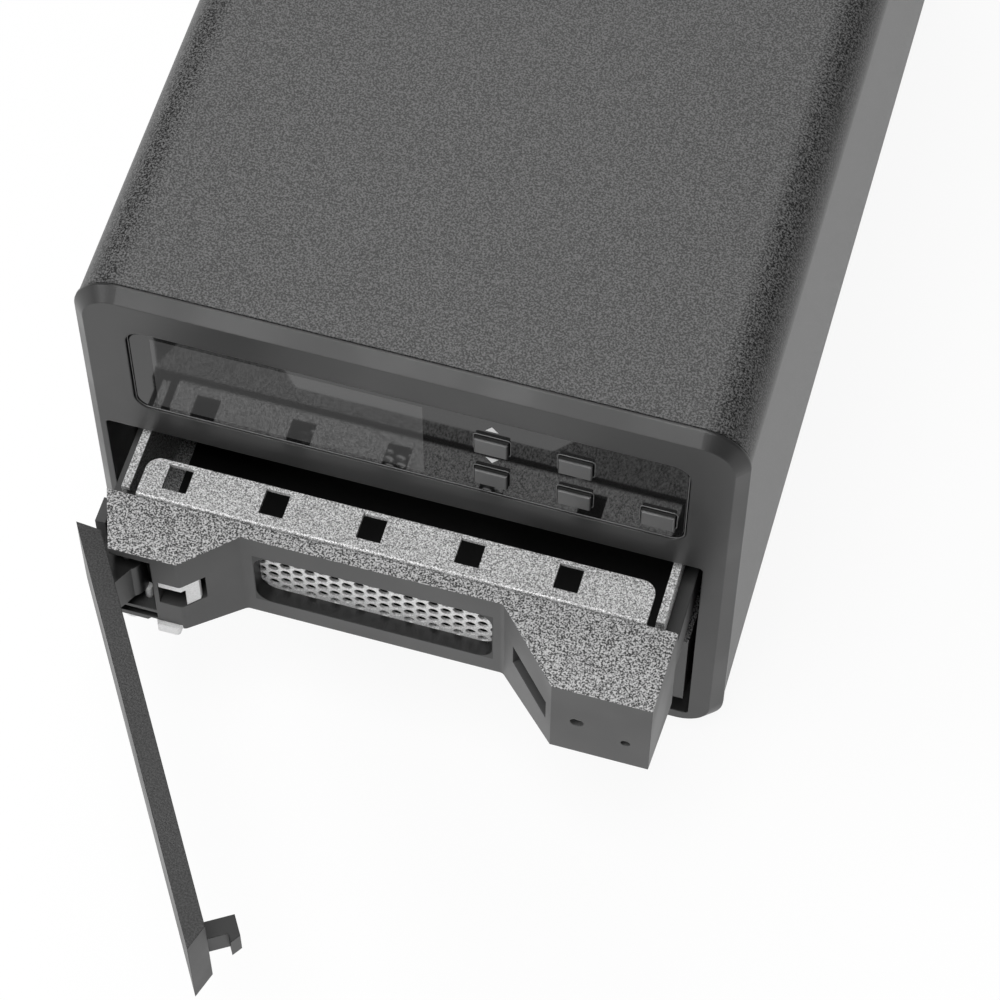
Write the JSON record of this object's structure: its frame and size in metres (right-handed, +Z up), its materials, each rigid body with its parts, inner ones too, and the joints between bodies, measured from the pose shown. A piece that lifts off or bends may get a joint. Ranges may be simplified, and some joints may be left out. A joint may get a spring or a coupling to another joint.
{
  "type": "raid storage array",
  "caption": "Desktop disk array with a display and buttons over two drive bays; levered trays slide out, with a fan, sockets and a rocker switch at the back.",
  "frame": {"origin": "bottom centre of the array as it stands, its upper tray drawn out and lever open", "axes": "+Z up, -Y out of the front, +X to the right as seen from the front"},
  "size_m": [0.1348, 0.323, 0.1178],
  "materials": {
    "cover_paint": "fine grained powder coat",
    "rear_paint": "powder coat",
    "bezel_plastic": "satin",
    "tray_plastic": "fine grain",
    "lever_plastic": "satin",
    "button_plastic": "satin",
    "guide_plastic": "satin",
    "fan_plastic": "satin",
    "window_black": "gloss, smoked",
    "switch_black": "moulded",
    "switch_gloss": "gloss",
    "display_glass": "polished glass face",
    "lens_clear": "clear moulded",
    "board_green": "solder mask",
    "rubber": "matt",
    "zinc_sheet": "galvanised",
    "grille_steel": "perforated, bright",
    "spring_steel": "bright",
    "port_steel": "tinned",
    "screw_steel": "zinc plated",
    "brass": "plated",
    "sink_aluminium": "anodised",
    "disk_cast": "cast and painted",
    "disk_steel": "satin"
  },
  "bodies": {
    "enclosure": {"outer_cover": "cover_paint", "rubber_feet": "rubber", "front_bezel": "bezel_plastic", "control_window": "window_black", "lcd_display": "display_glass", "alarm_lens": "lens_clear", "control_board": "board_green", "press_switches": "switch_black", "board_screws": "screw_steel", "drive_cage": "zinc_sheet", "tray_guides": "guide_plastic", "backplane": "board_green", "drive_sockets": "switch_black", "board_standoffs": "brass", "main_board": "board_green", "heat_sink": "sink_aluminium", "usb_port": "port_steel", "esata_port": "port_steel", "power_inlet": "switch_black", "rear_panel": "rear_paint", "fan_frame": "fan_plastic", "fan_screws": "screw_steel", "switch_housing": "switch_black", "rear_screws": "screw_steel"},
    "upper_tray": {"upper_tray_front": "tray_plastic", "upper_tray_grille": "grille_steel", "upper_tray_bracket": "zinc_sheet", "upper_tray_frame": "zinc_sheet", "upper_tray_runners": "guide_plastic", "upper_light_pipes": "lens_clear", "upper_latch_spring": "spring_steel"},
    "lower_tray": {"lower_tray_front": "tray_plastic", "lower_tray_grille": "grille_steel", "lower_tray_bracket": "zinc_sheet", "lower_tray_frame": "zinc_sheet", "lower_tray_runners": "guide_plastic", "lower_light_pipes": "lens_clear", "lower_latch_spring": "spring_steel", "disk_base": "disk_cast", "disk_lid": "disk_steel"},
    "upper_lever": {"upper_lever": "lever_plastic", "upper_lever_pin": "screw_steel", "upper_lever_cam": "spring_steel"},
    "lower_lever": {"lower_lever": "lever_plastic", "lower_lever_pin": "screw_steel", "lower_lever_cam": "spring_steel"},
    "fan_rotor": {"fan_rotor": "fan_plastic"},
    "power_rocker": {"power_rocker": "switch_gloss"},
    "button_up": {"button_up": "button_plastic"},
    "button_down": {"button_down": "button_plastic"},
    "button_back": {"button_back": "button_plastic"},
    "button_enter": {"button_enter": "button_plastic"},
    "button_silence": {"button_silence": "button_plastic"}
  },
  "joints": [
    {"name": "upper_tray_slide", "type": "slide", "parent": "enclosure", "child": "upper_tray", "axis": [0, -1, 0], "range_m": [-0.0331, 0.1]},
    {"name": "lower_tray_slide", "type": "slide", "parent": "enclosure", "child": "lower_tray", "axis": [0, -1, 0], "range_m": [0, 0.133]},
    {"name": "upper_lever_hinge", "type": "hinge", "parent": "upper_tray", "child": "upper_lever", "pos_m": [-0.0515, -0.08176, 0.05435], "axis": [0, 0, -1], "range_deg": [-58.1, 16.9]},
    {"name": "lower_lever_hinge", "type": "hinge", "parent": "lower_tray", "child": "lower_lever", "pos_m": [-0.0515, -0.04866, 0.02325], "axis": [0, 0, -1], "range_deg": [0, 75]},
    {"name": "button_up_press", "type": "slide", "parent": "enclosure", "child": "button_up", "axis": [0, 1, 0], "range_m": [0, 0.0008], "stiffness_N_per_m": 400, "springref_m": -0.0005},
    {"name": "button_down_press", "type": "slide", "parent": "enclosure", "child": "button_down", "axis": [0, 1, 0], "range_m": [0, 0.0008], "stiffness_N_per_m": 400, "springref_m": -0.0005},
    {"name": "button_back_press", "type": "slide", "parent": "enclosure", "child": "button_back", "axis": [0, 1, 0], "range_m": [0, 0.0008], "stiffness_N_per_m": 400, "springref_m": -0.0005},
    {"name": "button_enter_press", "type": "slide", "parent": "enclosure", "child": "button_enter", "axis": [0, 1, 0], "range_m": [0, 0.0008], "stiffness_N_per_m": 400, "springref_m": -0.0005},
    {"name": "button_silence_press", "type": "slide", "parent": "enclosure", "child": "button_silence", "axis": [0, 1, 0], "range_m": [0, 0.0008], "stiffness_N_per_m": 400, "springref_m": -0.0005},
    {"name": "fan_spin", "type": "hinge", "parent": "enclosure", "child": "fan_rotor", "pos_m": [0, 0.14554, 0.0397], "axis": [0, 1, 0], "continuous": true},
    {"name": "power_rocker_tilt", "type": "hinge", "parent": "enclosure", "child": "power_rocker", "pos_m": [0.044, 0.15604, 0.1025], "axis": [-1, 0, 0], "range_deg": [0, 12]}
  ]
}
